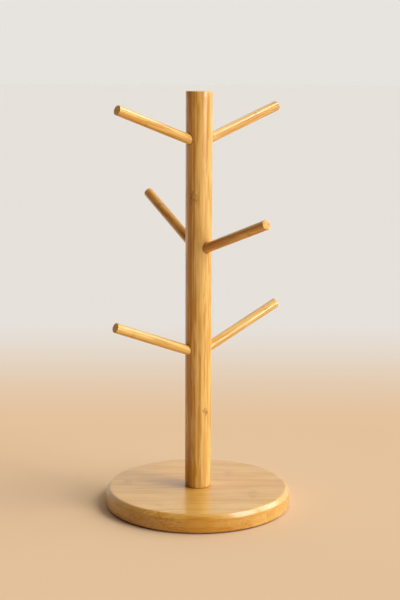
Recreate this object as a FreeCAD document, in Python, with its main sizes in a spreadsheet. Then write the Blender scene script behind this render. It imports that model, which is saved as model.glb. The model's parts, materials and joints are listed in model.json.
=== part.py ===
import FreeCAD, Part
import os
import Sketcher

# Mug tree: a round base, an upright post and six pegs in three opposite pairs.
#
# Millimetres and degrees. +Z is up. The origin is the middle of the footprint, on the table.
# The front is -Y, so left is -X and right is +X.
#
# Each peg is a plain dowel glued into a blind hole that slopes down towards the post's axis.
# The post stands on the base. One countersunk screw comes up through the base into its foot.
# Four pads hold the base clear of the table.

DIMENSIONS = {
    # the round base
    "base_diameter": 150.0,
    "base_thickness": 14.0,
    "base_bevel_width": 2.8,
    "base_bevel_height": 3.6,
    "base_bevel_upper_round": 2.2,
    "base_bevel_lower_round": 1.4,
    "base_bottom_round": 0.6,
    # the anti-slip pads
    "pad_diameter": 16.0,
    "pad_height": 1.2,
    "pad_edge_round": 0.3,
    "pad_circle_radius": 54.0,
    # the post
    "post_diameter": 21.2,
    "post_length": 319.2,
    "post_top_round": 0.8,
    "post_foot_round": 1.2,
    # the pegs, measured along a peg from the post's axis
    "peg_diameter": 7.92,
    "peg_tip_distance": 82.6,
    "peg_inner_distance": 3.4,
    "peg_tip_round": 0.5,
    "peg_inner_chamfer": 0.5,
    # the holes that the pegs are glued into
    "peg_hole_diameter": 8.0,
    "peg_hole_floor_distance": 2.9,
    "peg_hole_reach": 24.0,
    # the heights above the table where the pegs' axes cross the post's axis
    "top_level": 293.7,
    "middle_level": 208.6,
    "bottom_level": 125.5,
    # the wood screw
    "screw_head_diameter": 9.6,
    "screw_head_rim": 0.5,
    "screw_diameter": 5.0,
    "screw_core_diameter": 3.4,
    "screw_length": 45.0,
    "screw_thread_length": 28.0,
    "screw_thread_pitch": 2.5,
    "screw_thread_root_width": 1.2,
    "screw_thread_crest_width": 0.3,
    "screw_thread_sink": 0.1,
    "screw_tip_length": 5.0,
    "screw_slot_length": 5.6,
    "screw_slot_width": 1.1,
    "screw_slot_depth": 2.0,
    # its hole in the base and in the post's foot
    "screw_sink_depth": 1.5,
    "screw_head_clearance": 0.4,
    "screw_hole_diameter": 5.4,
    "pilot_hole_diameter": 5.04,
    "pilot_spare_length": 2.0,
}

# Each peg: its level, the direction it points round the post (0 is +X, 90 is +Y) and its rise.
PEGS = {
    "peg_top_left": ("top", 218.3, 19.2),
    "peg_top_right": ("top", 35.8, 20.2),
    "peg_middle_left": ("middle", 126.2, 30.2),
    "peg_middle_right": ("middle", 310.7, 20.0),
    "peg_bottom_left": ("bottom", 214.0, 20.8),
    "peg_bottom_right": ("bottom", 31.1, 25.1),
}

# Each pad's direction round the base.
PADS = {
    "pad_back_right": 45.0,
    "pad_back_left": 135.0,
    "pad_front_left": 225.0,
    "pad_front_right": 315.0,
}

FULL_TURN = 360.0


def make_sheet(doc):
    """Put every driving dimension into a spreadsheet cell that carries its name."""
    cells = dict(DIMENSIONS)
    for name, (_, heading, rise) in PEGS.items():
        cells[name + "_heading"] = heading
        cells[name + "_rise"] = rise
    for name, heading in PADS.items():
        cells[name + "_heading"] = heading
    sheet = doc.addObject("Spreadsheet::Sheet", "Dimensions")
    for row, (alias, number) in enumerate(cells.items(), start=1):
        sheet.set(f"A{row}", alias)
        sheet.set(f"B{row}", str(number))
        sheet.setAlias(f"B{row}", alias)
    doc.recompute()
    return sheet


def cell(alias):
    """The formula that reads one cell of the sheet."""
    return f"Dimensions.{alias}"


def make_body(doc, name):
    """A named sub-part."""
    body = doc.addObject("PartDesign::Body", name)
    body.Label = name
    return body


def origin_feature(body, role):
    """One of the body's own origin planes or axes."""
    return next(feature for feature in body.Origin.OriginFeatures if feature.Role == role)


def make_sketch(body, name, plane):
    """An empty sketch on one of the body's origin planes."""
    sketch = body.newObject("Sketcher::SketchObject", name)
    sketch.AttachmentSupport = [(origin_feature(body, plane), "")]
    sketch.MapMode = "FlatFace"
    return sketch


def hold_point(sketch, line, direction, formula):
    """Hold the start of a line at a formula's distance from the sketch's origin."""
    distance = float(sketch.evalExpression(formula))
    if distance == 0:
        axis = -2 if direction == "DistanceX" else -1
        sketch.addConstraint(Sketcher.Constraint("PointOnObject", line, 1, axis))
        return
    held = Sketcher.Constraint(direction, -1, 1, line, 1, distance)
    number = sketch.addConstraint(held)
    sketch.setExpression(f"Constraints[{number}]", formula)


def outline_sketch(body, name, plane, corners):
    """A closed outline of straight lines. Each corner is two formulas, across and up."""
    sketch = make_sketch(body, name, plane)
    points = []
    for across, up in corners:
        x = float(sketch.evalExpression(across))
        y = float(sketch.evalExpression(up))
        points.append(FreeCAD.Vector(x, y, 0))
    count = len(points)
    for index in range(count):
        line = Part.LineSegment(points[index], points[(index + 1) % count])
        sketch.addGeometry(line, False)
    for index in range(count):
        following = (index + 1) % count
        sketch.addConstraint(Sketcher.Constraint("Coincident", index, 2, following, 1))
    for index, (across, up) in enumerate(corners):
        hold_point(sketch, index, "DistanceX", across)
        hold_point(sketch, index, "DistanceY", up)
    return sketch


def circle_sketch(body, name, diameter):
    """A circle about the body's Z axis."""
    sketch = make_sketch(body, name, "XY_Plane")
    radius = float(sketch.evalExpression(diameter)) / 2
    circle = Part.Circle(FreeCAD.Vector(0, 0, 0), FreeCAD.Vector(0, 0, 1), radius)
    sketch.addGeometry(circle, False)
    sketch.addConstraint(Sketcher.Constraint("Coincident", 0, 3, -1, 1))
    number = sketch.addConstraint(Sketcher.Constraint("Diameter", 0, 2 * radius))
    sketch.setExpression(f"Constraints[{number}]", diameter)
    return sketch


def round_pad(body, name, diameter, length):
    """A disc or rod about the body's Z axis, standing on its XY plane."""
    pad = body.newObject("PartDesign::Pad", name)
    pad.Profile = circle_sketch(body, name + "_outline", diameter)
    pad.setExpression("Length", length)
    body.Document.recompute()
    return pad


def rim_edge(feature, height):
    """The name of the round edge of a feature that lies at a height in its body."""
    for number, edge in enumerate(feature.Shape.Edges, start=1):
        box = edge.BoundBox
        if abs(box.ZMin - height) < 1e-6 and abs(box.ZMax - height) < 1e-6:
            return f"Edge{number}"
    raise ValueError(f"{feature.Name} has no edge at height {height}")


def ease_rim(body, name, kind, size_property, size, height):
    """Round or chamfer the rim at a height. The size and the height are formulas."""
    before = body.Tip
    ease = body.newObject(kind, name)
    level = float(ease.evalExpression(height))
    ease.Base = (before, [rim_edge(before, level)])
    ease.setExpression(size_property, size)
    body.Document.recompute()
    return ease


def round_rim(body, name, radius, height):
    return ease_rim(body, name, "PartDesign::Fillet", "Radius", radius, height)


def chamfer_rim(body, name, size, height):
    return ease_rim(body, name, "PartDesign::Chamfer", "Size", size, height)


def turn(body, name, kind, corners):
    """Add or cut a full turn of an outline about the body's Z axis."""
    sketch = outline_sketch(body, name + "_outline", "XZ_Plane", corners)
    feature = body.newObject(kind, name)
    feature.Profile = sketch
    feature.ReferenceAxis = (sketch, ["V_Axis"])
    feature.Angle = FULL_TURN
    body.Document.recompute()
    return feature


def check_cut(feature, before_volume):
    """A cut that misses the solid shows no error, so its volume is compared."""
    if feature.Shape.Volume > before_volume - 1e-3:
        raise ValueError(f"{feature.Name} cuts nothing")


def peg_placement(name, level):
    """The formula that turns Z along a peg, from the point where it crosses the post's axis."""
    heading = cell(name + "_heading")
    rise = cell(name + "_rise")
    return f"placement(vector(0; 0; {level}); rotationz({heading}) * rotationy(90 - {rise}))"


def make_base(doc):
    """The round base: bevelled top edge, sunk screw hole from below, underside at its own Z = 0."""
    body = make_body(doc, "base")
    radius = f"{cell('base_diameter')} / 2"
    thickness = cell("base_thickness")
    bevel_foot = f"{thickness} - {cell('base_bevel_height')}"
    corners = [
        ("0", "0"),
        (radius, "0"),
        (radius, bevel_foot),
        (f"{radius} - {cell('base_bevel_width')}", thickness),
        ("0", thickness),
    ]
    turn(body, "base_board", "PartDesign::Revolution", corners)
    round_rim(body, "base_top_edge", cell("base_bevel_upper_round"), thickness)
    round_rim(body, "base_bevel_foot", cell("base_bevel_lower_round"), bevel_foot)
    round_rim(body, "base_bottom_edge", cell("base_bottom_round"), "0")
    solid = body.Tip.Shape.Volume

    # the screw's head sits on a cone of its own slope, at the floor of a slightly wider sink
    head_radius = f"{cell('screw_head_diameter')} / 2"
    sink_radius = f"{head_radius} + {cell('screw_head_clearance')}"
    hole_radius = f"{cell('screw_hole_diameter')} / 2"
    sink_floor = f"{cell('screw_sink_depth')} + {cell('screw_head_rim')}"
    corners = [
        ("0", "0"),
        (sink_radius, "0"),
        (sink_radius, sink_floor),
        (head_radius, sink_floor),
        (hole_radius, f"{sink_floor} + {head_radius} - {hole_radius}"),
        (hole_radius, thickness),
        ("0", thickness),
    ]
    hole = turn(body, "base_screw_hole", "PartDesign::Groove", corners)
    check_cut(hole, solid)
    body.setExpression("Placement.Base.z", cell("pad_height"))
    return body


def make_post(doc):
    """The post, with six sloping blind holes and a pilot hole. Its foot is at its own Z = 0."""
    body = make_body(doc, "post")
    length = cell("post_length")
    foot_height = f"({cell('pad_height')} + {cell('base_thickness')})"
    round_pad(body, "post_rod", cell("post_diameter"), length)
    round_rim(body, "post_top_edge", cell("post_top_round"), length)
    round_rim(body, "post_foot_edge", cell("post_foot_round"), "0")

    for name, (level, _, _) in PEGS.items():
        solid = body.Tip.Shape.Volume
        hole = body.newObject("PartDesign::SubtractiveCylinder", name + "_hole")
        height = f"{cell(level + '_level')} - {foot_height}"
        start = f"placement(vector(0; 0; {cell('peg_hole_floor_distance')}); rotationz(0))"
        hole.setExpression("Radius", f"{cell('peg_hole_diameter')} / 2")
        hole.setExpression("Height", cell("peg_hole_reach"))
        hole.setExpression("Placement", f"{peg_placement(name, height)} * {start}")
        doc.recompute()
        check_cut(hole, solid)

    solid = body.Tip.Shape.Volume
    radius = f"{cell('pilot_hole_diameter')} / 2"
    depth = (
        f"{cell('screw_sink_depth')} + {cell('screw_length')}"
        f" + {cell('pilot_spare_length')} - {cell('base_thickness')}"
    )
    corners = [
        ("0", "0"),
        (radius, "0"),
        (radius, depth),
        ("0", f"{depth} + {radius}"),
    ]
    pilot = turn(body, "post_pilot_hole", "PartDesign::Groove", corners)
    check_cut(pilot, solid)
    body.setExpression("Placement.Base.z", foot_height)
    return body


def make_peg(doc, name, level):
    """A dowel. Its own Z axis runs outwards along it, from where it crosses the post's axis."""
    body = make_body(doc, name)
    inner = cell("peg_inner_distance")
    tip = cell("peg_tip_distance")
    radius = f"{cell('peg_diameter')} / 2"
    corners = [
        ("0", inner),
        (radius, inner),
        (radius, tip),
        ("0", tip),
    ]
    turn(body, name + "_dowel", "PartDesign::Revolution", corners)
    round_rim(body, name + "_tip_edge", cell("peg_tip_round"), tip)
    chamfer_rim(body, name + "_inner_edge", cell("peg_inner_chamfer"), inner)
    body.setExpression("Placement", peg_placement(name, cell(level + "_level")))
    return body


def make_screw_blank(body):
    """The screw's head, smooth shank and core, turned about its own Z. Its head faces down at Z = 0."""
    head_radius = f"{cell('screw_head_diameter')} / 2"
    shank_radius = f"{cell('screw_diameter')} / 2"
    core_radius = f"{cell('screw_core_diameter')} / 2"
    rim = cell("screw_head_rim")
    length = cell("screw_length")
    thread_start = f"{length} - {cell('screw_thread_length')}"
    corners = [
        ("0", "0"),
        (head_radius, "0"),
        (head_radius, rim),
        (shank_radius, f"{rim} + {head_radius} - {shank_radius}"),
        (shank_radius, f"{thread_start} - ({shank_radius} - {core_radius})"),
        (core_radius, thread_start),
        (core_radius, f"{length} - {cell('screw_tip_length')}"),
        ("0", length),
    ]
    return turn(body, "screw_blank", "PartDesign::Revolution", corners)


def wind_screw_thread(body):
    """A sharp ridge wound round the screw's core, with its root just under the core's surface."""
    pitch = cell("screw_thread_pitch")
    half_root = f"{cell('screw_thread_root_width')} / 2"
    half_crest = f"{cell('screw_thread_crest_width')} / 2"
    crest_radius = f"{cell('screw_diameter')} / 2"
    root_radius = f"{cell('screw_core_diameter')} / 2 - {cell('screw_thread_sink')}"
    first_turn = f"{cell('screw_length')} - {cell('screw_thread_length')} + {pitch} / 2"
    corners = [
        (root_radius, f"{first_turn} - {half_root}"),
        (crest_radius, f"{first_turn} - {half_crest}"),
        (crest_radius, f"{first_turn} + {half_crest}"),
        (root_radius, f"{first_turn} + {half_root}"),
    ]
    blank_volume = body.Tip.Shape.Volume
    sketch = outline_sketch(body, "screw_thread_outline", "XZ_Plane", corners)
    thread = body.newObject("PartDesign::AdditiveHelix", "screw_thread")
    thread.Profile = sketch
    thread.ReferenceAxis = (sketch, ["V_Axis"])
    thread.Mode = "pitch-height-angle"
    thread.setExpression("Pitch", pitch)
    wound = f"{cell('screw_thread_length')} - {cell('screw_tip_length')} - {pitch}"
    thread.setExpression("Height", wound)
    body.Document.recompute()
    if thread.Shape.Volume < blank_volume + 1:
        raise ValueError("the screw has no thread")
    return thread


def make_screw(doc):
    """The countersunk wood screw, with a wound thread and a crossed recess."""
    body = make_body(doc, "base_screw")
    make_screw_blank(body)
    wind_screw_thread(body)
    cut_screw_recess(body)
    body.setExpression("Placement.Base.z", f"{cell('pad_height')} + {cell('screw_sink_depth')}")
    return body


def cut_screw_recess(body):
    """A crossed recess in the screw's head for the driver."""
    solid = body.Tip.Shape.Volume
    half_long = f"{cell('screw_slot_length')} / 2"
    half_wide = f"{cell('screw_slot_width')} / 2"
    quarter = [
        (half_long, half_wide),
        (half_wide, half_wide),
        (half_wide, half_long),
    ]
    corners = list(quarter)
    corners += [(f"-({across})", up) for across, up in reversed(quarter)]
    corners += [(f"-({across})", f"-({up})") for across, up in quarter]
    corners += [(across, f"-({up})") for across, up in reversed(quarter)]
    sketch = outline_sketch(body, "screw_recess_outline", "XY_Plane", corners)
    recess = body.newObject("PartDesign::Pocket", "screw_recess")
    recess.Profile = sketch
    recess.Reversed = True
    recess.setExpression("Length", cell("screw_slot_depth"))
    body.Document.recompute()
    check_cut(recess, solid)
    return recess


def make_pad(doc, name):
    """A round anti-slip pad that sticks to the base's underside."""
    body = make_body(doc, name)
    round_pad(body, name + "_disc", cell("pad_diameter"), cell("pad_height"))
    round_rim(body, name + "_edge", cell("pad_edge_round"), "0")
    heading = cell(name + "_heading")
    radius = cell("pad_circle_radius")
    body.setExpression("Placement.Base.x", f"{radius} * cos({heading})")
    body.setExpression("Placement.Base.y", f"{radius} * sin({heading})")
    return body


def check_document(doc, bodies):
    """Stop if any object failed to recompute or any sub-part has no sound solid."""
    for item in doc.Objects:
        if "Invalid" in item.State or "Error" in item.State:
            raise ValueError(f"{item.Name} is {item.State}")
    for body in bodies:
        shape = body.Shape
        if shape.isNull() or not shape.isValid() or len(shape.Solids) != 1:
            raise ValueError(f"{body.Label} is not one sound solid")


def export_bodies(bodies):
    """Write each sub-part to its own file, named after it."""
    os.makedirs("parts", exist_ok=True)
    for body in bodies:
        body.Shape.exportStep(os.path.join("parts", body.Label + ".step"))


def main():
    doc = FreeCAD.newDocument("mug_tree")
    make_sheet(doc)
    bodies = [make_base(doc), make_post(doc), make_screw(doc)]
    for name, (level, _, _) in PEGS.items():
        bodies.append(make_peg(doc, name, level))
    for name in PADS:
        bodies.append(make_pad(doc, name))
    doc.recompute()
    check_document(doc, bodies)
    export_bodies(bodies)


main()
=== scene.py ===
import json
import math

import bmesh
import bpy
from mathutils import Matrix, Vector, noise


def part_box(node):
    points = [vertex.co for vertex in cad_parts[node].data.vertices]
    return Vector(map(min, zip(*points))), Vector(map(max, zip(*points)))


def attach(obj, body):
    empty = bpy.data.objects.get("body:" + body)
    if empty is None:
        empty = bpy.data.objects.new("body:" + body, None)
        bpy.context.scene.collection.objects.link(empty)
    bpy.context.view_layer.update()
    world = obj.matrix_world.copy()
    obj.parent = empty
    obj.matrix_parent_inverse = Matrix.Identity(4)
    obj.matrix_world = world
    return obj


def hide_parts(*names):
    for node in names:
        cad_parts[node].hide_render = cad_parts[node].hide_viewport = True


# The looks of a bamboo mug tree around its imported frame. Metres, +Z up, front at -Y.
# A size whose name ends in _MM is in millimetres, and MM turns it to metres.

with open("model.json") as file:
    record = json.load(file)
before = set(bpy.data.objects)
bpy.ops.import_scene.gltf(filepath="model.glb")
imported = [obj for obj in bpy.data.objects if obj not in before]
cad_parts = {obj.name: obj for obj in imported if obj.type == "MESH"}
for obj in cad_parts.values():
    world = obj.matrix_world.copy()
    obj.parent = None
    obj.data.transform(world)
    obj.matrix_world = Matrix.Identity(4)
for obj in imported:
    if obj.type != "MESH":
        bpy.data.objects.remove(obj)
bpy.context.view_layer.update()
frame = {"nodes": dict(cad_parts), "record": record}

MM = 0.001
BODY = "root"

# ---------------------------------------------------------------- sizes that the frame doesn't state

BASE_CHAMFER_IN_MM = 2.8
BASE_CHAMFER_DOWN_MM = 3.6
BASE_CHAMFER_TOP_EASE_MM = 2.2
BASE_CHAMFER_SIDE_EASE_MM = 1.4
BASE_BOTTOM_EASE_MM = 0.6
SINK_DEPTH_MM = 2.0
SINK_RADIUS_MM = 5.2
SINK_EASE_MM = 0.15
HEAD_RADIUS_MM = 4.8
SCREW_HOLE_RADIUS_MM = 2.7

POST_TOP_EASE_MM = 0.8
POST_FOOT_EASE_MM = 1.2
PILOT_RADIUS_MM = 2.52
PILOT_DEPTH_MM = 34.5
PILOT_EASE_MM = 0.3

PEG_TIP_EASE_MM = 0.5
PEG_INNER_EASE_MM = 0.4
PEG_HOLE_RADIUS_MM = 4.0
PEG_HOLE_FLOOR_MM = 2.9
PEG_HOLE_END_MM = 26.9

# How finely each piece is made: the faces round it, and the longest step along its outline. A point
# nearer to the axis than ON_AXIS, in metres, is on it. An edge sharper than SHARP_ANGLE shows.
BASE_SEGMENTS = 288
BASE_STEP_MM = 2.5
POST_SEGMENTS = 128
POST_STEP_MM = 4.0
PEG_SEGMENTS = 72
PEG_STEP_MM = 2.0
PEG_HOLE_SEGMENTS = 64
ARC_STEPS = 5
ON_AXIS = 1e-7
SHARP_ANGLE = math.radians(35)

# What sanding took off: its greatest depth, and the size of its waves across and along the piece.
BASE_SANDING_MM = (0.03, 12.0, 9.0)
POST_SANDING_MM = (0.04, 7.0, 30.0)
PEG_SANDING_MM = (0.02, 8.0, 24.0)
SEED_STRIDES = (7.1, 3.7, 5.3)

# Each peg and its tone: below 0 for a paler dowel and above 0 for a browner one. The middle pegs'
# browner tones are partly painted shade, for the sides that they turn away from the light.
PEGS = {
    "peg_top_left": -0.05,
    "peg_top_right": -0.20,
    "peg_middle_left": 0.30,
    "peg_middle_right": 0.20,
    "peg_bottom_left": -0.05,
    "peg_bottom_right": -0.20,
}
PADS = ("pad_front_left", "pad_front_right", "pad_back_left", "pad_back_right")


# ---------------------------------------------------------------- mesh helpers


def eased_outline(corners):
    """Outline points with each corner (radius, height, ease) rounded by an arc of that ease."""
    points = []
    count = len(corners)
    for index, (radius, height, ease) in enumerate(corners):
        corner = Vector((radius, height))
        if ease == 0:
            points.append(corner)
            continue
        before = Vector(corners[index - 1][:2]) - corner
        after = Vector(corners[(index + 1) % count][:2]) - corner
        before.normalize()
        after.normalize()
        half_angle = math.acos(max(-1.0, min(1.0, before.dot(after)))) / 2
        centre = corner + (before + after).normalized() * ease / math.sin(half_angle)
        start = corner + before * ease / math.tan(half_angle) - centre
        end = corner + after * ease / math.tan(half_angle) - centre
        sweep = start.angle_signed(end)
        for step in range(ARC_STEPS + 1):
            turned = Matrix.Rotation(-sweep * step / ARC_STEPS, 2) @ start
            points.append(centre + turned)
    return points


def divided_outline(points, longest, closed):
    """The same outline with extra points, so that no step is longer than a given length."""
    divided = []
    last = len(points) if closed else len(points) - 1
    for index in range(last):
        start = points[index]
        end = points[(index + 1) % len(points)]
        parts = max(1, math.ceil((end - start).length / longest))
        for part in range(parts):
            divided.append(start.lerp(end, part / parts))
    if not closed:
        divided.append(points[-1])
    return divided


def turned_rings(shape, outline, segments):
    """A ring of vertices about Z for each (radius, height) point, or one vertex on the axis."""
    rings = []
    for point in outline:
        if point.x < ON_AXIS:
            rings.append([shape.verts.new((0, 0, point.y))])
            continue
        ring = []
        for segment in range(segments):
            angle = 2 * math.pi * segment / segments
            place = (point.x * math.cos(angle), point.x * math.sin(angle), point.y)
            ring.append(shape.verts.new(place))
        rings.append(ring)
    return rings


def lathe(name, corners, segments, closed, longest=math.inf):
    """A piece turned about Z from corners (radius, height, ease) in millimetres.

    A closed outline makes a ring. An open one starts and ends on the axis. No step of the outline
    is longer than longest.
    """
    outline = divided_outline(eased_outline(corners), longest, closed)
    shape = bmesh.new()
    rings = turned_rings(shape, [point * MM for point in outline], segments)
    pairs = list(zip(rings, rings[1:]))
    if closed:
        pairs.append((rings[-1], rings[0]))
    for lower, upper in pairs:
        for segment in range(segments):
            following = (segment + 1) % segments
            if len(lower) == 1:
                shape.faces.new((lower[0], upper[segment], upper[following]))
            elif len(upper) == 1:
                shape.faces.new((lower[segment], upper[0], lower[following]))
            else:
                shape.faces.new((lower[segment], upper[segment], upper[following], lower[following]))
    bmesh.ops.recalc_face_normals(shape, faces=shape.faces)
    piece = object_from(shape, name)
    piece.data.shade_smooth()
    return piece


def object_from(shape, name):
    """An object in the scene with a finished shape as its mesh."""
    mesh = bpy.data.meshes.new(name)
    shape.to_mesh(mesh)
    shape.free()
    made = bpy.data.objects.new(name, mesh)
    bpy.context.scene.collection.objects.link(made)
    return made


def sand(piece, sanding_mm, seed):
    """Take up to a tiny depth off the surface, unevenly, as sanding leaves it."""
    depth, across, along = (size * MM for size in sanding_mm)
    offset = Vector([seed * stride for stride in SEED_STRIDES])
    moved = []
    for vertex in piece.data.vertices:
        place = Vector((vertex.co.x / across, vertex.co.y / across, vertex.co.z / along))
        share = 0.5 + 0.5 * noise.noise(place + offset)
        moved.append(vertex.co - vertex.normal * depth * share)
    for vertex, place in zip(piece.data.vertices, moved):
        vertex.co = place


def lay_along(piece, point, direction):
    """Turn a piece's own Z along a direction, and move its origin to a point."""
    turn = Vector((0, 0, 1)).rotation_difference(direction)
    piece.matrix_world = Matrix.Translation(point) @ turn.to_matrix().to_4x4()


def drill(piece, cutters):
    """Cut the cutters' shapes out of a piece, and remove them."""
    for cutter in cutters:
        cut = piece.modifiers.new(cutter.name, "BOOLEAN")
        cut.operation = "DIFFERENCE"
        cut.solver = "EXACT"
        cut.object = cutter
    bpy.context.view_layer.update()
    cut_piece = piece.evaluated_get(bpy.context.evaluated_depsgraph_get())
    mesh = bpy.data.meshes.new_from_object(cut_piece)
    piece.modifiers.clear()
    piece.data = mesh
    mesh.set_sharp_from_angle(angle=SHARP_ANGLE)
    for cutter in cutters:
        bpy.data.objects.remove(cutter)


# ---------------------------------------------------------------- shader helpers


class Graph:
    """The node tree of a material or a world, with short ways to add to it."""

    def __init__(self, owner, shader_name):
        owner.use_nodes = True
        self.owner = owner
        self.tree = owner.node_tree
        self.shader = self.tree.nodes[shader_name]

    def add(self, kind, inputs=None, **settings):
        """A node with its settings, and with its inputs linked or set."""
        made = self.tree.nodes.new(kind)
        for name, value in settings.items():
            setattr(made, name, value)
        for key, value in (inputs or {}).items():
            self.feed(made.inputs[key], value)
        return made

    def feed(self, socket, value):
        """Link another node's output to a socket, or set the socket's own value."""
        if isinstance(value, bpy.types.NodeSocket):
            self.tree.links.new(value, socket)
        else:
            socket.default_value = value

    def shade(self, inputs):
        """Link or set inputs of the shader itself."""
        for name, value in inputs.items():
            self.feed(self.shader.inputs[name], value)

    def maths(self, operation, first, second=0.0, clamp=False):
        made = self.add("ShaderNodeMath", {0: first, 1: second}, operation=operation, use_clamp=clamp)
        return made.outputs[0]

    def total(self, first, *others):
        """The sum of two or more numbers."""
        result = first
        for other in others:
            result = self.maths("ADD", result, other)
        return result

    def vector(self, operation, first, second):
        made = self.add("ShaderNodeVectorMath", {0: first, 1: second}, operation=operation)
        return made.outputs[0]

    def dot(self, first, second):
        made = self.add("ShaderNodeVectorMath", {0: first, 1: second}, operation="DOT_PRODUCT")
        return made.outputs["Value"]

    def length(self, vector):
        return self.add("ShaderNodeVectorMath", {0: vector}, operation="LENGTH").outputs["Value"]

    def split(self, vector):
        made = self.add("ShaderNodeSeparateXYZ", {0: vector})
        return made.outputs[0], made.outputs[1], made.outputs[2]

    def join(self, x, y, z):
        return self.add("ShaderNodeCombineXYZ", {0: x, 1: y, 2: z}).outputs[0]

    def ramp(self, value, low, high, to_low=0.0, to_high=1.0):
        """A smooth step of a value from one range to another."""
        inputs = {0: value, 1: low, 2: high, 3: to_low, 4: to_high}
        made = self.add("ShaderNodeMapRange", inputs, interpolation_type="SMOOTHSTEP")
        return made.outputs[0]

    def noise(self, vector, detail=2.0, roughness=0.5, distortion=0.0):
        inputs = {
            "Vector": vector,
            "Scale": 1.0,
            "Detail": detail,
            "Roughness": roughness,
            "Distortion": distortion,
        }
        return self.add("ShaderNodeTexNoise", inputs).outputs["Fac"]

    def cells(self, vector):
        """The distance to the nearest of scattered points, one to a unit cell."""
        made = self.add("ShaderNodeTexVoronoi", {"Vector": vector, "Scale": 1.0}, feature="F1")
        return made.outputs["Distance"]

    def random(self, vector):
        """Three random numbers from 0 to 1 for a whole-number place."""
        made = self.add("ShaderNodeTexWhiteNoise", {"Vector": vector}, noise_dimensions="3D")
        return made.outputs["Color"]

    def blend(self, share, first, second):
        """A mix of two colours, from the first at a share of 0 to the second at 1."""
        made = self.add("ShaderNodeMix", data_type="RGBA", blend_type="MIX")
        self.feed(made.inputs["Factor"], share)
        self.feed(made.inputs["A"], first)
        self.feed(made.inputs["B"], second)
        return made.outputs["Result"]

    def bump(self, height, strength, distance):
        """A normal that follows a height."""
        inputs = {"Strength": strength, "Distance": distance, "Height": height}
        return self.add("ShaderNodeBump", inputs).outputs[0]


def material_graph(name):
    """A new material's node tree."""
    return Graph(bpy.data.materials.new(name), "Principled BSDF")


# ---------------------------------------------------------------- bamboo

# Linear colours of bamboo under a clear lacquer, and of the glue and painted contact shade round the
# pegs.
PALE = (0.76, 0.485, 0.140, 1.0)
HONEY = (0.55, 0.235, 0.008, 1.0)
FIBRE = (0.34, 0.105, 0.004, 1.0)
NODE = (0.17, 0.050, 0.004, 1.0)
GLUE_AND_SHADE = (0.20, 0.075, 0.010, 1.0)

# The sizes of what makes the grain: across it and along it.
STREAK_MM = (1.5, 120.0)
ROD_BAND_MM = (3.2, 34.0)
BOARD_BAND_MM = (12.0, 60.0)
FINE_MM = (0.5, 26.0)
BUNDLE_MM = (1.5, 38.0)
DASH_MM = (0.75, 2.4)
MOTTLE_MM = (9.0, 60.0)
# The size of the waves in the border between the post's painted shade and painted light.
PAINTED_SIDE_WAVE_MM = (3.0, 40.0)
MARK_EDGE_MM = (2.4, 4.0)
SWERVE_WAVE_MM = (4.0, 6.5)
LACQUER_MM = (6.0, 14.0)

# The range of each pattern's own values, or of a distance, over which it comes in or goes out.
STREAK_RANGE = (0.34, 0.66)
BAND_RANGE = (0.36, 0.64)
FINE_RANGE = (0.50, 0.75)
BUNDLE_RANGE = (0.16, 0.40)
DASH_RANGE = (0.50, 0.66)
MOTTLE_RANGE = (0.40, 0.60)
MARK_RANGE = (0.35, 1.0)
WAVE_RANGE = (0.3, 0.7)
SEAM_RANGE_MM = (0.03, 0.22)
# Across the post's X, where the painted shade on the -X side turns into painted light on the +X side.
PAINTED_SIDE_RANGE_MM = (-5.0, 1.5)

# The range of a surface normal's part along the grain for end grain, and up the plies for an edge.
END_RANGE = (0.12, 0.85)
EDGE_RANGE = (0.10, 0.95)

# How far each layer moves the ground from pale at 0 towards honey at 1.
MIDDLE_TONE = 0.5
STREAK_SWING = 0.28
BAND_SWING = 0.26
STRIP_SWING = 0.12
CUT_PALING = 0.45

# How much of the darker colours shows.
FINE_SHARE = 0.35
BUNDLE_SHARE = (0.08, 0.45)
BUNDLE_STRIP_FACTOR = (0.6, 1.2)
CUT_BUNDLE_SHARE = 0.16
CUT_FIBRE_SHARE = 0.10
MARK_GROUND_SHARE = 0.3
GLUE_AND_SHADE_SHARE = 0.8

# The most that the grain jumps from strip to strip, and the share of a strip's width by which each
# row of strips is staggered.
STRIP_SHIFT_MM = (97.0, 83.0, 311.0)
STRIP_STAGGER = 0.37

# How much a node mark's edge wanders, how far the grain swerves at the mark, and how far the border
# of the post's painted light and shade wavers.
MARK_EDGE_WANDER = 1.1
SWERVE_MM = 5.0
PAINTED_SIDE_WAVER_MM = 2.0

# Glue and painted contact shade show in full up to the first distance from a peg's axis, and fade out
# by the second.
GLUE_AND_SHADE_INNER_MM = 4.15
GLUE_AND_SHADE_OUTER_MM = 4.75

# The lacquer's roughness, what the layers add to it, and the heights that they give its surface.
ROUGHNESS = 0.42
FINE_ROUGHNESS_RANGE = (0.3, 0.8)
FINE_ROUGHNESS = 0.10
LACQUER_ROUGHNESS = (-0.03, 0.05)
CUT_ROUGHNESS = 0.15
FINE_HEIGHT = 0.5
LACQUER_HEIGHT = 0.9
BUNDLE_DEPTH = 0.25
SEAM_DEPTH = 0.4
RELIEF_STRENGTH = 0.2
RELIEF_MM = 0.05


def scaled(graph, place, size):
    """Places counted in units of a size across the grain and a size along it."""
    across, along = size
    return graph.vector("DIVIDE", place, (across, across, along))


def strip_pattern(graph, place, strips, seed):
    """For strips glued side by side: three random numbers for each, and a mask of the glue lines."""
    width, thickness = strips
    x, y, _ = graph.split(place)
    row = graph.maths("DIVIDE", y, thickness)
    row_number = graph.maths("FLOOR", row)
    stagger = graph.maths("MULTIPLY", row_number, STRIP_STAGGER)
    column = graph.maths("ADD", graph.maths("DIVIDE", x, width), stagger)
    chances = graph.random(graph.join(graph.maths("FLOOR", column), row_number, seed))
    distances = []
    for counted, size in ((column, width), (row, thickness)):
        part = graph.maths("FRACT", counted)
        nearer = graph.maths("MINIMUM", part, graph.maths("SUBTRACT", 1.0, part))
        distances.append(graph.maths("MULTIPLY", nearer, size))
    nearest = graph.maths("MINIMUM", distances[0], distances[1])
    return chances, graph.ramp(nearest, *SEAM_RANGE_MM, 1.0, 0.0)


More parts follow.
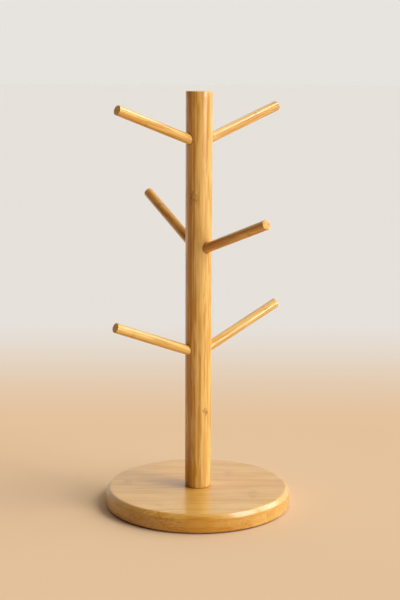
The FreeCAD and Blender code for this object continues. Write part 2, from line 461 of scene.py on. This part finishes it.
def node_marks(graph, place, marks):
    """Soft patches where the culm had its joints. Each mark is a middle and a size in millimetres."""
    wander = graph.noise(scaled(graph, place, MARK_EDGE_MM))
    wander = graph.maths("MULTIPLY", graph.maths("SUBTRACT", wander, 0.5), MARK_EDGE_WANDER)
    total = None
    for middle, size in marks:
        away = graph.vector("DIVIDE", graph.vector("SUBTRACT", place, middle), size)
        distance = graph.maths("ADD", graph.length(away), wander)
        patch = graph.ramp(distance, *MARK_RANGE, 1.0, 0.0)
        total = patch if total is None else graph.maths("MAXIMUM", total, patch)
    return total


def grain_places(graph, place, chances, patch):
    """Places in the grain, which is different in each strip and swerves a little at node marks."""
    grain = graph.vector("ADD", place, graph.vector("MULTIPLY", chances, STRIP_SHIFT_MM))
    swerve = graph.noise(scaled(graph, grain, SWERVE_WAVE_MM), detail=1.0)
    swerve = graph.maths("MULTIPLY", graph.maths("SUBTRACT", swerve, 0.5), patch)
    swerve = graph.maths("MULTIPLY", swerve, SWERVE_MM)
    return graph.vector("ADD", grain, graph.join(swerve, swerve, 0.0))


def cut_faces(graph, turned):
    """Two shares from 0 to 1: end grain, cut across the grain, and edge, cut across the plies."""
    normal = turned(graph, graph.add("ShaderNodeTexCoord").outputs["Normal"])
    _, up, along = graph.split(normal)
    end = graph.ramp(graph.maths("ABSOLUTE", along), *END_RANGE)
    edge = graph.ramp(graph.maths("ABSOLUTE", up), *EDGE_RANGE, 1.0, 0.0)
    return end, edge


def streaks_and_bands(graph, grain, band, chance):
    """How far streaks, bands and a strip's own chance move the ground from its middle tone."""
    streaks = graph.noise(scaled(graph, grain, STREAK_MM), detail=3.0, roughness=0.65, distortion=0.3)
    bands = graph.noise(scaled(graph, grain, band), distortion=0.5)
    return graph.total(
        graph.ramp(streaks, *STREAK_RANGE, -STREAK_SWING, STREAK_SWING),
        graph.ramp(bands, *BAND_RANGE, -BAND_SWING, BAND_SWING),
        graph.ramp(chance, 0.0, 1.0, -STRIP_SWING, STRIP_SWING),
    )


def painted_side_light_and_shade(graph, place, side_light_and_shade_paint):
    """Painted shade and light: how far the ground turns browner on the -X side, which faces away from
    the key light, and paler on the +X side, which faces it.
    """
    waver = graph.noise(scaled(graph, place, PAINTED_SIDE_WAVE_MM), detail=1.0)
    waver = graph.ramp(waver, *WAVE_RANGE, -PAINTED_SIDE_WAVER_MM, PAINTED_SIDE_WAVER_MM)
    side, _, _ = graph.split(place)
    return graph.ramp(graph.maths("ADD", side, waver), *PAINTED_SIDE_RANGE_MM, side_light_and_shade_paint, -side_light_and_shade_paint)


def fibre_bundles(graph, place, grain, chance, cut):
    """Bundles of fibre, dots on a cut face and lines along the grain, and how much they show."""
    bundles = graph.ramp(graph.cells(scaled(graph, grain, BUNDLE_MM)), *BUNDLE_RANGE, 1.0, 0.0)
    mottle = graph.noise(scaled(graph, place, MOTTLE_MM))
    share = graph.ramp(mottle, *MOTTLE_RANGE, *BUNDLE_SHARE)
    share = graph.maths("MULTIPLY", share, graph.ramp(chance, 0.0, 1.0, *BUNDLE_STRIP_FACTOR))
    share = graph.maths("ADD", share, graph.maths("MULTIPLY", cut, CUT_BUNDLE_SHARE), clamp=True)
    return bundles, graph.maths("MULTIPLY", bundles, share)


def mark_darkness(graph, grain, patch, mark_depth):
    """How dark a node mark is: a soft ground with darker dashes in it."""
    dashes = graph.ramp(graph.noise(scaled(graph, grain, DASH_MM), detail=1.0), *DASH_RANGE)
    share = graph.ramp(dashes, 0.0, 1.0, MARK_GROUND_SHARE * mark_depth, mark_depth)
    return graph.maths("MULTIPLY", patch, share)


def glue_and_shade_ring(graph, local, point, direction):
    """A ring of glue and painted contact shade round a peg, only on the side of the post where the peg
    comes out.
    """
    away = graph.vector("SUBTRACT", local, point)
    radius = graph.length(graph.vector("CROSS_PRODUCT", away, direction))
    ring = graph.ramp(radius, GLUE_AND_SHADE_INNER_MM * MM, GLUE_AND_SHADE_OUTER_MM * MM, 1.0, 0.0)
    outside = graph.maths("GREATER_THAN", graph.dot(away, direction), 0.0)
    return graph.maths("MULTIPLY", graph.maths("MULTIPLY", ring, outside), GLUE_AND_SHADE_SHARE)


def lacquer(graph, place, fine, bundles, seams, cut):
    """A clear satin lacquer, rougher on cut faces, that lies unevenly over the grain."""
    waves = graph.noise(scaled(graph, place, LACQUER_MM))
    roughness = graph.total(
        graph.ramp(fine, *FINE_ROUGHNESS_RANGE, 0.0, FINE_ROUGHNESS),
        ROUGHNESS,
        graph.ramp(waves, *WAVE_RANGE, *LACQUER_ROUGHNESS),
        graph.maths("MULTIPLY", cut, CUT_ROUGHNESS),
    )
    relief = graph.total(
        graph.maths("MULTIPLY", fine, FINE_HEIGHT),
        graph.maths("MULTIPLY", waves, LACQUER_HEIGHT),
        graph.maths("MULTIPLY", bundles, -BUNDLE_DEPTH),
        graph.maths("MULTIPLY", seams, -SEAM_DEPTH),
    )
    graph.shade({
        "Roughness": roughness,
        "Normal": graph.bump(relief, RELIEF_STRENGTH, RELIEF_MM * MM),
        "IOR": 1.45,
        "Specular IOR Level": 0.3,
        "Coat Weight": 1.0,
        "Coat Roughness": 0.2,
        "Coat IOR": 1.5,
    })


def bamboo(
    name, turned, strips, marks, seed, contrast, seam_share, mark_depth,
    band=ROD_BAND_MM, tone=0.0, side_light_and_shade_paint=0.0, painted_edge_shade=0.0, glue_and_shade_rings=(),
):
    """Bamboo under a satin lacquer.

    turned turns places and directions so that Z runs along the grain. strips is the width and
    thickness of the strips that are glued together. contrast, seam_share and mark_depth say how much
    the grain, the glue lines and the node marks show. The side setting paints shade on the -X side,
    browner, and light on the +X side, paler. The edge setting paints shade on a board's upright edge,
    browner. The glue rings are the lines, each a point and a direction in metres, of the pegs whose
    glue and painted contact shade show round their holes.
    """
    graph = material_graph(name)
    local = graph.add("ShaderNodeTexCoord").outputs["Object"]
    place = turned(graph, graph.vector("MULTIPLY", local, (1 / MM, 1 / MM, 1 / MM)))
    chances, seams = strip_pattern(graph, place, strips, seed)
    patch = node_marks(graph, place, marks)
    grain = grain_places(graph, place, chances, patch)
    fine = graph.noise(scaled(graph, grain, FINE_MM), roughness=0.6)
    cut, edge = cut_faces(graph, turned)
    _, tone_chance, bundle_chance = graph.split(chances)

    ground = graph.total(
        graph.maths("MULTIPLY", streaks_and_bands(graph, grain, band, tone_chance), contrast),
        # Painted shade on the post's -X side and painted light on its +X side.
        painted_side_light_and_shade(graph, place, side_light_and_shade_paint),
        # Painted shade: the upright edge of a board turns browner than its top.
        graph.maths("MULTIPLY", edge, painted_edge_shade),
        graph.maths("MULTIPLY", cut, -CUT_PALING),
    )
    ground = graph.maths("ADD", ground, MIDDLE_TONE + tone, clamp=True)
    colour = graph.blend(ground, PALE, HONEY)
    colour = graph.blend(graph.ramp(fine, *FINE_RANGE, 0.0, FINE_SHARE), colour, FIBRE)
    bundles, bundle_share = fibre_bundles(graph, place, grain, bundle_chance, cut)
    colour = graph.blend(bundle_share, colour, FIBRE)
    colour = graph.blend(graph.maths("MULTIPLY", cut, CUT_FIBRE_SHARE), colour, FIBRE)
    colour = graph.blend(mark_darkness(graph, grain, patch, mark_depth), colour, NODE)
    colour = graph.blend(graph.maths("MULTIPLY", seams, seam_share), colour, NODE)
    # Glue and painted contact shade round each peg's hole.
    for point, direction in glue_and_shade_rings:
        colour = graph.blend(glue_and_shade_ring(graph, local, point, direction), colour, GLUE_AND_SHADE)
    graph.shade({"Base Color": colour})
    lacquer(graph, place, fine, bundles, seams, cut)
    return graph.owner


def along_x(graph, vector):
    """The base's grain runs along X. Its strips lie side by side along Y, in plies up Z."""
    x, y, z = graph.split(vector)
    return graph.join(y, z, x)


def along_z(graph, vector):
    """The grain runs along the piece's own Z."""
    return vector


# ---------------------------------------------------------------- steel and rubber

STEEL_DARK = (0.60, 0.58, 0.52, 1.0)
STEEL_PALE = (0.74, 0.72, 0.68, 1.0)
STEEL_RING_MM = 0.12
STEEL_MOTTLE_MM = 1.5
STEEL_WEAR_RANGE = (0.6, 1.4)
STEEL_ROUGHNESS = (0.24, 0.42)
STEEL_RELIEF_STRENGTH = 0.15
STEEL_RELIEF_MM = 0.02

RUBBER_DARK = (0.018, 0.017, 0.016, 1.0)
RUBBER_DUSTY = (0.045, 0.042, 0.038, 1.0)
RUBBER_GRAIN_MM = 0.3
RUBBER_DUST_MM = 3.0
RUBBER_DUST_RANGE = (0.4, 0.75)
RUBBER_ROUGHNESS = (0.72, 0.88)
RUBBER_RELIEF_STRENGTH = 0.35
RUBBER_RELIEF_MM = 0.05


def even_noise(graph, local, size_mm, detail):
    """Noise of one size in all directions."""
    size = size_mm * MM
    return graph.noise(graph.vector("DIVIDE", local, (size, size, size)), detail=detail)


def zinc_steel(name):
    """Zinc-plated steel with a faint turned ring pattern."""
    graph = material_graph(name)
    local = graph.add("ShaderNodeTexCoord").outputs["Object"]
    x, y, _ = graph.split(local)
    radius = graph.length(graph.join(x, y, 0.0))
    ring_number = graph.maths("DIVIDE", radius, STEEL_RING_MM * MM)
    rings = graph.noise(graph.join(ring_number, 0.0, 0.0), detail=1.0)
    mottle = even_noise(graph, local, STEEL_MOTTLE_MM, detail=3.0)
    wear = graph.maths("ADD", rings, mottle)
    graph.shade({
        "Base Color": graph.blend(mottle, STEEL_DARK, STEEL_PALE),
        "Roughness": graph.ramp(wear, *STEEL_WEAR_RANGE, *STEEL_ROUGHNESS),
        "Normal": graph.bump(rings, STEEL_RELIEF_STRENGTH, STEEL_RELIEF_MM * MM),
        "Metallic": 1.0,
    })
    return graph.owner


def pad_rubber(name):
    """Matt black rubber with a fine moulded grain and a little dust."""
    graph = material_graph(name)
    local = graph.add("ShaderNodeTexCoord").outputs["Object"]
    grain = even_noise(graph, local, RUBBER_GRAIN_MM, detail=2.0)
    dust = even_noise(graph, local, RUBBER_DUST_MM, detail=3.0)
    dust = graph.ramp(dust, *RUBBER_DUST_RANGE)
    graph.shade({
        "Base Color": graph.blend(dust, RUBBER_DARK, RUBBER_DUSTY),
        "Roughness": graph.ramp(grain, *WAVE_RANGE, *RUBBER_ROUGHNESS),
        "Normal": graph.bump(grain, RUBBER_RELIEF_STRENGTH, RUBBER_RELIEF_MM * MM),
    })
    return graph.owner


# ---------------------------------------------------------------- the pieces

# Node marks in millimetres, each a middle and a size, with the grain's direction last. So a mark on
# the base, whose grain runs along X, is given along Y, up Z and along X.
BASE_MARKS = [
    ((-24.0, 16.0, 44.0), (15.0, 9.0, 6.5)),
    ((30.0, 16.0, 26.0), (12.0, 9.0, 6.0)),
    ((8.0, 16.0, -58.0), (8.0, 9.0, 5.0)),
    ((-50.0, 12.0, -30.0), (8.0, 5.0, 5.0)),
    ((-66.0, 6.0, 12.0), (8.0, 5.0, 5.0)),
    ((10.0, 3.0, 20.0), (9.0, 5.0, 6.0)),
    ((-30.0, 3.0, -40.0), (9.0, 5.0, 6.0)),
]
POST_MARKS = [
    ((-4.5, -9.5, 252.0), (4.6, 5.0, 7.0)),
    ((6.0, -8.5, 79.0), (3.0, 4.0, 4.5)),
    ((9.0, 5.5, 180.0), (3.5, 4.0, 5.0)),
    ((-2.0, 10.0, 292.0), (3.5, 4.0, 5.0)),
    ((-8.0, 6.5, 120.0), (3.5, 4.0, 5.0)),
]
PEG_MARK_SIZE_MM = (3.4, 3.0, 2.6)
PEG_MARK_START_MM = 52.0
PEG_MARK_STEP_MM = 3.0

# The width and thickness of the strips. The pegs' are wider than a peg, so they only meet at its axis.
BASE_STRIPS_MM = (38.0, 4.9)
POST_STRIPS_MM = (6.2, 30.0)
PEG_STRIPS_MM = (60.0, 60.0)


def finish_piece(piece, material, node):
    """Give a piece its finish and let it stand for a node of the frame."""
    piece.data.materials.append(material)
    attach(piece, BODY)
    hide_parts(node)


def make_base():
    """The round base with its chamfered, eased rim and the sunk screw hole from below."""
    low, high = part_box("base")
    radius = high.x / MM
    bottom = low.z / MM
    top = high.z / MM
    sink_floor = bottom + SINK_DEPTH_MM
    corners = [
        (SCREW_HOLE_RADIUS_MM, top, 0.0),
        (radius - BASE_CHAMFER_IN_MM, top, BASE_CHAMFER_TOP_EASE_MM),
        (radius, top - BASE_CHAMFER_DOWN_MM, BASE_CHAMFER_SIDE_EASE_MM),
        (radius, bottom, BASE_BOTTOM_EASE_MM),
        (SINK_RADIUS_MM, bottom, SINK_EASE_MM),
        (SINK_RADIUS_MM, sink_floor, 0.0),
        (HEAD_RADIUS_MM, sink_floor, 0.0),
        (SCREW_HOLE_RADIUS_MM, sink_floor + HEAD_RADIUS_MM - SCREW_HOLE_RADIUS_MM, 0.0),
    ]
    piece = lathe("base_board", corners, BASE_SEGMENTS, closed=True, longest=BASE_STEP_MM)
    sand(piece, BASE_SANDING_MM, seed=1)
    material = bamboo(
        "bamboo_board", along_x, BASE_STRIPS_MM, BASE_MARKS, seed=11.0,
        contrast=0.5, seam_share=0.06, mark_depth=0.35,
        # The rim's upright edge gets painted shade, browner than the top.
        band=BOARD_BAND_MM, tone=0.03, painted_edge_shade=0.3,
    )
    finish_piece(piece, material, "base")


def peg_line(name):
    """Where a peg's axis crosses the post's axis, its direction, its two ends and its radius."""
    mount = next(item for item in frame["record"]["mounts"] if item["name"] == name)
    direction = Vector(mount["axis"]).normalized()
    point = Vector(mount["pos_m"])
    distance = point.to_2d().length / direction.to_2d().length
    crossing = point - direction * distance
    along = [direction.dot(vertex.co - crossing) for vertex in frame["nodes"][name].data.vertices]
    return crossing, direction, min(along), max(along), mount["dims"]["r_mm"] * MM


def make_peg(name, tone, seed):
    """One dowel, turned about its own Z and then laid along its line."""
    crossing, direction, inner, tip, radius = peg_line(name)
    corners = [
        (0.0, inner / MM, 0.0),
        (radius / MM, inner / MM, PEG_INNER_EASE_MM),
        (radius / MM, tip / MM, PEG_TIP_EASE_MM),
        (0.0, tip / MM, 0.0),
    ]
    piece = lathe(name + "_dowel", corners, PEG_SEGMENTS, closed=False, longest=PEG_STEP_MM)
    sand(piece, PEG_SANDING_MM, seed)
    lay_along(piece, crossing, direction)
    marks = [((0.0, -3.0, PEG_MARK_START_MM + PEG_MARK_STEP_MM * seed), PEG_MARK_SIZE_MM)]
    material = bamboo(
        "bamboo_" + name, along_z, PEG_STRIPS_MM, marks, seed,
        contrast=1.3, seam_share=0.0, mark_depth=0.5, tone=tone,
    )
    finish_piece(piece, material, name)


def peg_hole_cutter(name, crossing, direction):
    """The shape of the blind hole that a peg is glued into."""
    corners = [
        (0.0, PEG_HOLE_FLOOR_MM, 0.0),
        (PEG_HOLE_RADIUS_MM, PEG_HOLE_FLOOR_MM, 0.0),
        (PEG_HOLE_RADIUS_MM, PEG_HOLE_END_MM, 0.0),
        (0.0, PEG_HOLE_END_MM, 0.0),
    ]
    cutter = lathe("cutter_" + name, corners, PEG_HOLE_SEGMENTS, closed=False)
    lay_along(cutter, crossing, direction)
    return cutter


def make_post():
    """The turned post, with its sloping peg holes and the pilot hole in its foot."""
    low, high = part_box("post")
    radius = high.x / MM
    foot = low.z / MM
    top = high.z / MM
    corners = [
        (0.0, foot + PILOT_DEPTH_MM + PILOT_RADIUS_MM, 0.0),
        (PILOT_RADIUS_MM, foot + PILOT_DEPTH_MM, 0.0),
        (PILOT_RADIUS_MM, foot, PILOT_EASE_MM),
        (radius, foot, POST_FOOT_EASE_MM),
        (radius, top, POST_TOP_EASE_MM),
        (0.0, top, 0.0),
    ]
    piece = lathe("post_rod", corners, POST_SEGMENTS, closed=False, longest=POST_STEP_MM)
    sand(piece, POST_SANDING_MM, seed=2)
    cutters = []
    lines = []
    for name in PEGS:
        crossing, direction, _, _, _ = peg_line(name)
        cutters.append(peg_hole_cutter(name, crossing, direction))
        lines.append((tuple(crossing), tuple(direction)))
    drill(piece, cutters)
    material = bamboo(
        "bamboo_post", along_z, POST_STRIPS_MM, POST_MARKS, seed=3.0,
        # Painted shade on the -X side, painted light on the +X side, and glue with painted contact
        # shade round the pegs.
        contrast=1.5, seam_share=0.15, mark_depth=0.9, side_light_and_shade_paint=0.30, glue_and_shade_rings=lines,
    )
    finish_piece(piece, material, "post")


def dress_node(name, material):
    """Give a node of the frame, whose shape stays, a better material."""
    for slot in frame["nodes"][name].material_slots:
        slot.material = material


# ---------------------------------------------------------------- the studio

CAMERA_DISTANCE = 1.019
CAMERA_HEIGHT = 0.3507
CAMERA_PITCH = math.radians(10.10)
CAMERA_YAW = math.radians(0.067)
CAMERA_ROLL = math.radians(0.240)
CAMERA_LENS_MM = 77.6
CAMERA_SENSOR_MM = 36.0

# Linear colours. The floor is warm under the tree and fades to a pale one far behind it, where a
# slight glow brings it to the wall's brightness.
FLOOR_NEAR = (0.69, 0.495, 0.315, 1.0)
FLOOR_FAR = (0.60, 0.585, 0.565, 1.0)
FLOOR_NEAR_GLOW = (0.0, 0.0, 0.0, 1.0)
FLOOR_FAR_GLOW = (0.12, 0.115, 0.11, 1.0)
FLOOR_FADE = (0.20, 0.80)
FLOOR_RADIUS = 30.0
FLOOR_SEGMENTS = 96

# The room is at its brightest in the direction of ROOM_LEAN, and dim on the other side.
WALL_COLOUR = (0.80, 0.775, 0.745, 1.0)
DIM_COLOUR = (0.045, 0.03, 0.015, 1.0)
ROOM_LEAN = (0.45, 0.80, 0.30)
ROOM_FADE = (-0.35, 0.65)

KEY_COLOUR = (1.0, 0.99, 0.95)
WINDOW_COLOUR = (1.0, 0.99, 0.98)


def make_camera():
    """The camera stands in front of the tree and looks slightly down at it."""
    forward = Vector((
        math.sin(CAMERA_YAW) * math.cos(CAMERA_PITCH),
        math.cos(CAMERA_YAW) * math.cos(CAMERA_PITCH),
        -math.sin(CAMERA_PITCH),
    ))
    level_right = Vector((math.cos(CAMERA_YAW), -math.sin(CAMERA_YAW), 0))
    level_up = level_right.cross(forward)
    right = math.cos(CAMERA_ROLL) * level_right + math.sin(CAMERA_ROLL) * level_up
    up = right.cross(forward)
    data = bpy.data.cameras.new("camera")
    data.lens = CAMERA_LENS_MM
    data.sensor_width = CAMERA_SENSOR_MM
    camera = bpy.data.objects.new("camera", data)
    bpy.context.scene.collection.objects.link(camera)
    turned = Matrix((right, up, -forward)).transposed().to_4x4()
    camera.matrix_world = Matrix.Translation((0, -CAMERA_DISTANCE, CAMERA_HEIGHT)) @ turned
    bpy.context.scene.camera = camera


def make_floor():
    """A wide plain floor without gloss."""
    shape = bmesh.new()
    bmesh.ops.create_circle(shape, cap_ends=True, segments=FLOOR_SEGMENTS, radius=FLOOR_RADIUS)
    floor = object_from(shape, "floor")
    graph = material_graph("floor")
    _, behind, _ = graph.split(graph.add("ShaderNodeTexCoord").outputs["Object"])
    fade = graph.ramp(behind, *FLOOR_FADE)
    graph.shade({
        "Base Color": graph.blend(fade, FLOOR_NEAR, FLOOR_FAR),
        "Emission Color": graph.blend(fade, FLOOR_NEAR_GLOW, FLOOR_FAR_GLOW),
        "Emission Strength": 1.0,
        "Roughness": 0.6,
        "Specular IOR Level": 0.0,
    })
    floor.data.materials.append(graph.owner)


def make_room():
    """A pale room, brighter behind the tree than in front of it. The camera sees its pale wall."""
    graph = Graph(bpy.data.worlds.new("studio"), "Background")
    bpy.context.scene.world = graph.owner
    direction = graph.add("ShaderNodeTexCoord").outputs["Generated"]
    light = graph.ramp(graph.dot(direction, ROOM_LEAN), *ROOM_FADE)
    seen_by_camera = graph.add("ShaderNodeLightPath").outputs["Is Camera Ray"]
    share = graph.maths("MAXIMUM", light, seen_by_camera)
    graph.shade({"Color": graph.blend(share, DIM_COLOUR, WALL_COLOUR)})


def make_sun(name, heading, rise, width, strength, colour, diffuse=True, glossy=True):
    """A soft round light far away. heading is its direction round the tree and rise its height.

    Without diffuse it only makes highlights, and without glossy it makes none.
    """
    data = bpy.data.lights.new(name, "SUN")
    data.angle = math.radians(width)
    data.energy = strength
    data.color = colour
    light = bpy.data.objects.new(name, data)
    bpy.context.scene.collection.objects.link(light)
    heading = math.radians(heading)
    rise = math.radians(rise)
    towards = Vector((
        math.cos(rise) * math.cos(heading),
        math.cos(rise) * math.sin(heading),
        math.sin(rise),
    ))
    light.rotation_euler = towards.to_track_quat("Z", "Y").to_euler()
    light.visible_diffuse = diffuse
    light.visible_glossy = glossy


def make_studio():
    """The camera, the floor, the room and the windows' light, all angles in degrees."""
    make_camera()
    make_floor()
    make_room()
    make_sun("key", -13.0, 50.0, 28.0, 1.75, KEY_COLOUR)
    make_sun("window", -36.0, 12.0, 27.0, 1.8, WINDOW_COLOUR, glossy=False)
    make_sun("gleam", -33.0, 3.0, 20.0, 1.6, WINDOW_COLOUR, diffuse=False)
    make_sun("back_window", 22.0, 32.0, 30.0, 0.65, WINDOW_COLOUR)
    make_sun("back_gleam", 22.0, 32.0, 30.0, 0.5, WINDOW_COLOUR, diffuse=False)
    bpy.context.scene.view_settings.view_transform = "Standard"


make_base()
for number, (peg, peg_tone) in enumerate(PEGS.items(), start=1):
    make_peg(peg, peg_tone, seed=float(number))
make_post()
dress_node("base_screw", zinc_steel("zinc_steel"))
rubber = pad_rubber("pad_rubber")
for pad in PADS:
    dress_node(pad, rubber)
make_studio()
